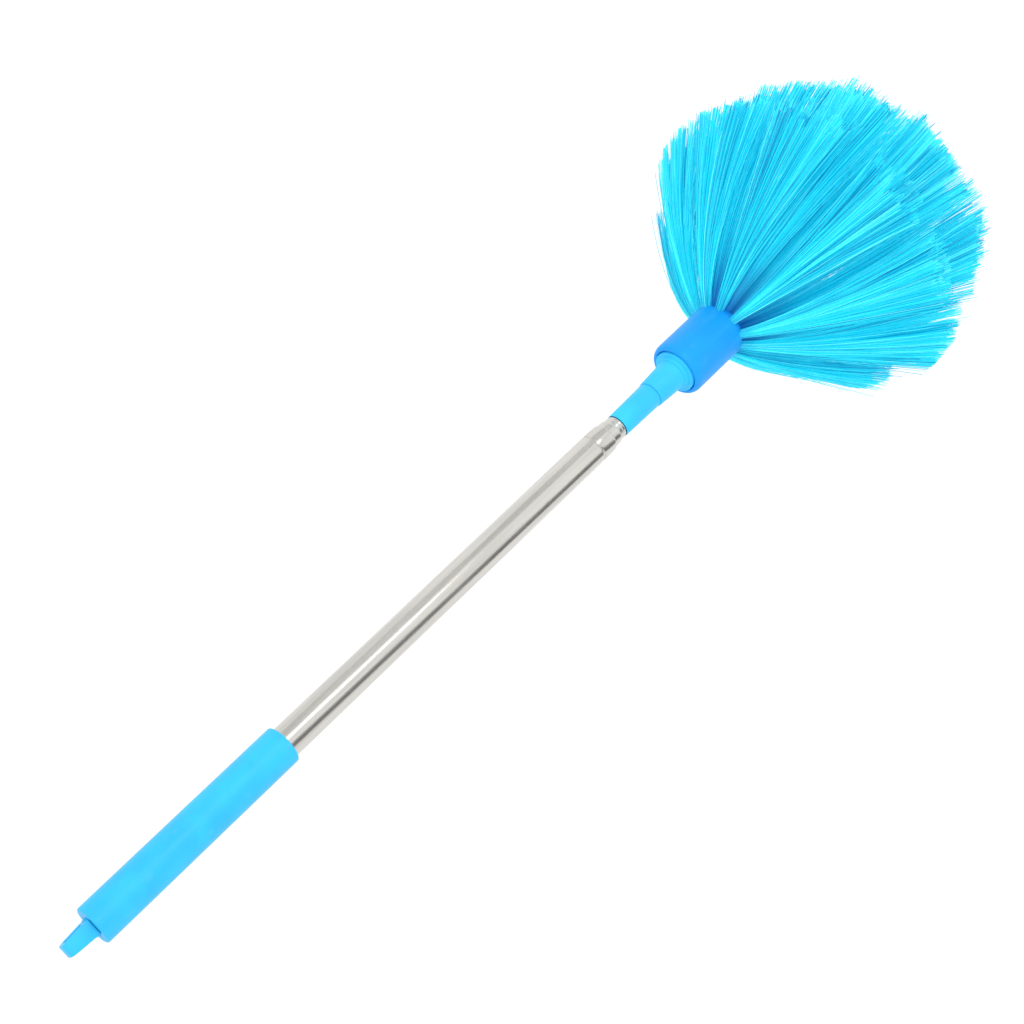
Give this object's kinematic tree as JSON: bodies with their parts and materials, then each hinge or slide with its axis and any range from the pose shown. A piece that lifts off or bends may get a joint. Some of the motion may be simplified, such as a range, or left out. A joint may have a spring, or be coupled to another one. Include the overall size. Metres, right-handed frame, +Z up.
{
  "type": "telescopic duster",
  "caption": "Round ceiling duster: a dome of synthetic bristle tufts in a plastic hub on a telescopic steel pole with a plastic grip and a hanging loop.",
  "frame": {"origin": "the point of the hanging loop's eye that rests on the peg, on the pole's axis", "axes": "+Z up along the pole, from the brush to the loop, as the duster hangs; X along the loop's eye; Y across it"},
  "size_m": [0.2636, 0.2772, 0.9673],
  "materials": {
    "sky_blue_plastic": "satin",
    "azure_plastic": "satin",
    "polished_steel": "polished",
    "bush_plastic": "matte",
    "lock_plastic": "matte",
    "bristle": "satin"
  },
  "bodies": {
    "handle": {"grip_sleeve": "sky_blue_plastic", "end_loop": "sky_blue_plastic", "outer_tube": "polished_steel", "outer_guide_bush": "bush_plastic"},
    "middle_lock": {"middle_lock_collet": "lock_plastic"},
    "middle_cone": {"middle_lock_cone": "bush_plastic"},
    "middle_section": {"middle_lock_spindle": "lock_plastic", "middle_tube": "polished_steel", "middle_guide_bush": "bush_plastic"},
    "inner_lock": {"inner_lock_collet": "lock_plastic"},
    "inner_cone": {"inner_lock_cone": "bush_plastic"},
    "inner_section": {"inner_lock_spindle": "lock_plastic", "inner_tube": "polished_steel", "tube_end_sleeve": "sky_blue_plastic"},
    "brush_head": {"head_adapter": "sky_blue_plastic", "hub": "azure_plastic", "tuft_row1_01": "bristle", "tuft_row1_02": "bristle", "tuft_row1_03": "bristle", "tuft_row1_04": "bristle", "tuft_row1_05": "bristle", "tuft_row1_06": "bristle", "tuft_row1_07": "bristle", "tuft_row1_08": "bristle", "tuft_row1_09": "bristle", "tuft_row1_10": "bristle", "tuft_row2_01": "bristle", "tuft_row2_02": "bristle", "tuft_row2_03": "bristle", "tuft_row2_04": "bristle", "tuft_row2_05": "bristle", "tuft_row2_06": "bristle", "tuft_row2_07": "bristle", "tuft_row2_08": "bristle", "tuft_row2_09": "bristle", "tuft_row3_01": "bristle", "tuft_row3_02": "bristle", "tuft_row3_03": "bristle", "tuft_row3_04": "bristle", "tuft_row3_05": "bristle", "tuft_row3_06": "bristle", "tuft_row4_01": "bristle", "tuft_row4_02": "bristle", "tuft_row4_03": "bristle"}
  },
  "joints": [
    {"name": "middle_extend", "type": "slide", "parent": "handle", "child": "middle_lock", "axis": [0, 0, -1], "range_m": [0, 0.42]},
    {"name": "middle_twist", "type": "hinge", "parent": "middle_lock", "child": "middle_section", "pos_m": [0, 0, -0.0766], "axis": [0, 0, -1], "range_deg": [0, 180]},
    {"name": "middle_cone_travel", "type": "slide", "parent": "middle_lock", "child": "middle_cone", "axis": [0, 0, 1], "range_m": [0, 0.0012]},
    {"name": "inner_extend", "type": "slide", "parent": "middle_section", "child": "inner_lock", "axis": [0, 0, -1], "range_m": [0, 0.37]},
    {"name": "inner_twist", "type": "hinge", "parent": "inner_lock", "child": "inner_section", "pos_m": [0, 0, -0.1349], "axis": [0, 0, -1], "range_deg": [0, 180]},
    {"name": "inner_cone_travel", "type": "slide", "parent": "inner_lock", "child": "inner_cone", "axis": [0, 0, 1], "range_m": [0, 0.0012]},
    {"name": "head_unscrew", "type": "slide", "parent": "inner_section", "child": "brush_head", "axis": [0, 0, -1], "range_m": [0, 0.02]}
  ],
  "couplings": [
    {"joint": "middle_cone_travel", "follows": "middle_twist", "m_per_rad": 0.00038197},
    {"joint": "inner_cone_travel", "follows": "inner_twist", "m_per_rad": 0.00038197}
  ]
}
